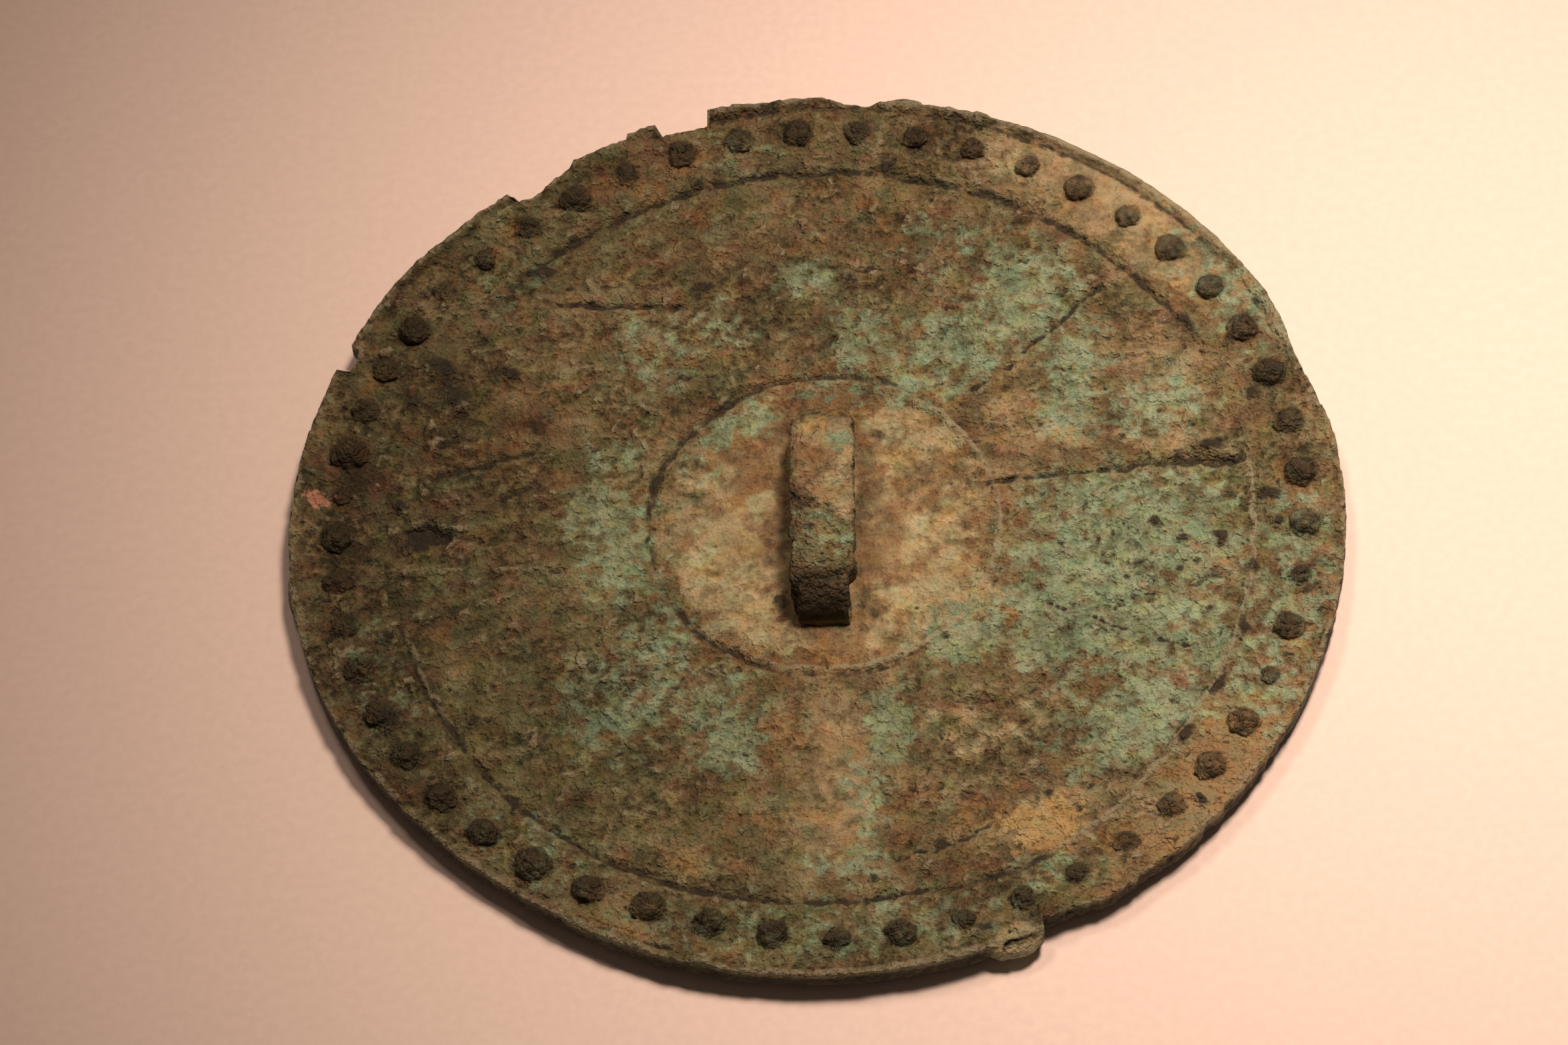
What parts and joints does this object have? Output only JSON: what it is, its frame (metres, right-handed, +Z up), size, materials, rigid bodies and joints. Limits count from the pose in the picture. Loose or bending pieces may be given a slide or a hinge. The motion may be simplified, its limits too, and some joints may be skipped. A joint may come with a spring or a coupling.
{
  "type": "bronze mirror",
  "caption": "Round cast bronze mirror with a chipped, corroded edge, a bridge loop on its back, raised rings, spokes and leaf veins, and a ring of small bosses.",
  "frame": {"origin": "middle of the flat resting patch under the reflecting face, which lies on the ground", "axes": "+Z up, out of the decorated back; +Y along the bridge loop; +X across it, along the gap for the cord"},
  "size_m": [0.1258, 0.1258, 0.0103],
  "materials": {
    "bronze": "matt, crusted brown and green patina over cast bronze"
  },
  "bodies": {
    "root": {"mirror": "bronze"}
  },
  "joints": []
}
